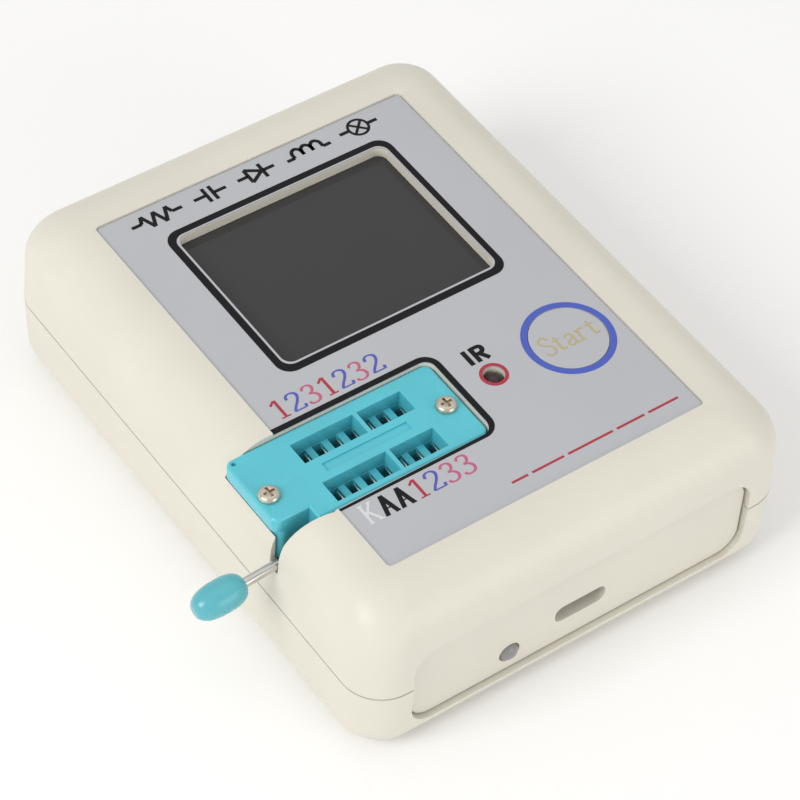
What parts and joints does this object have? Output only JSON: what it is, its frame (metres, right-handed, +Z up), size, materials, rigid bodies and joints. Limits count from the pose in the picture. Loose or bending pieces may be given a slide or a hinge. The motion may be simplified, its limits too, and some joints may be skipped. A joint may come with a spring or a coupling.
{
  "type": "component tester",
  "caption": "Handheld component tester: rounded cream case, colour display, lever-operated test socket with slots in rows, start button, infrared window and a charging socket.",
  "frame": {"origin": "centre of the case's flat base", "axes": "+Z up out of the face label, +Y from the charging end towards the display end, +X to the right, away from the socket's lever"},
  "size_m": [0.0822, 0.09, 0.0281],
  "materials": {
    "case_plastic": "cream moulded plastic, satin",
    "label_print": "grey printed polyester film, satin",
    "inner_plastic": "white moulded plastic",
    "teal_plastic": "teal moulded plastic, slight gloss",
    "steel": "bright plated steel",
    "contact_metal": "tinned spring strip",
    "display_glass": "dark glass over the unlit display",
    "board": "green circuit board",
    "black_plastic": "black moulded plastic",
    "smoked_lens": "dark infrared-passing epoxy",
    "clear_lens": "clear epoxy",
    "battery_foil": "silver foil pouch",
    "tape": "white foam tape",
    "wire": "insulated wire",
    "can_metal": "plain metal can"
  },
  "bodies": {
    "case": {"upper_shell": "case_plastic", "lower_shell": "case_plastic", "front_panel": "case_plastic", "case_screws": "steel", "face_label": "label_print", "switch_body": "black_plastic", "display_glass": "display_glass", "display_frame": "inner_plastic", "display_board": "board", "display_screws": "steel", "display_header": "black_plastic", "main_board": "board", "board_screws": "steel", "microcontroller": "black_plastic", "crystal": "can_metal", "inductor": "black_plastic", "capacitors": "can_metal", "charger_chip": "black_plastic", "chip_parts": "black_plastic", "usb_shell": "steel", "usb_tongue": "black_plastic", "charge_lamp": "clear_lens", "lamp_leads": "steel", "ir_receiver": "smoked_lens", "ir_leads": "steel", "battery_tape": "tape", "battery": "battery_foil", "battery_plug": "inner_plastic", "battery_wires": "wire", "socket_base": "teal_plastic", "socket_cover": "teal_plastic", "socket_contacts": "contact_metal", "socket_risers": "black_plastic", "cover_screws": "steel"},
    "lever": {"lever_rod": "steel", "lever_knob": "teal_plastic", "lever_cam": "teal_plastic"},
    "slider": {"socket_slider": "teal_plastic"},
    "start_key": {"start_pad": "label_print", "start_key": "inner_plastic", "switch_stem": "inner_plastic"}
  },
  "joints": [
    {"name": "slider_shift", "type": "slide", "parent": "case", "child": "slider", "axis": [1, 0, 0], "range_m": [0, 0.0007]},
    {"name": "lever_swing", "type": "hinge", "parent": "case", "child": "lever", "pos_m": [-0.03, -0.02265, 0.0202], "axis": [0, 1, 0], "range_deg": [0, 95]},
    {"name": "start_press", "type": "slide", "parent": "case", "child": "start_key", "axis": [0, 0, -1], "range_m": [0, 0.0003], "stiffness_N_per_m": 600, "springref_m": -0.0003}
  ],
  "couplings": [
    {"joint": "lever_swing", "follows": "slider_shift", "rad_per_m": 2368.5}
  ]
}
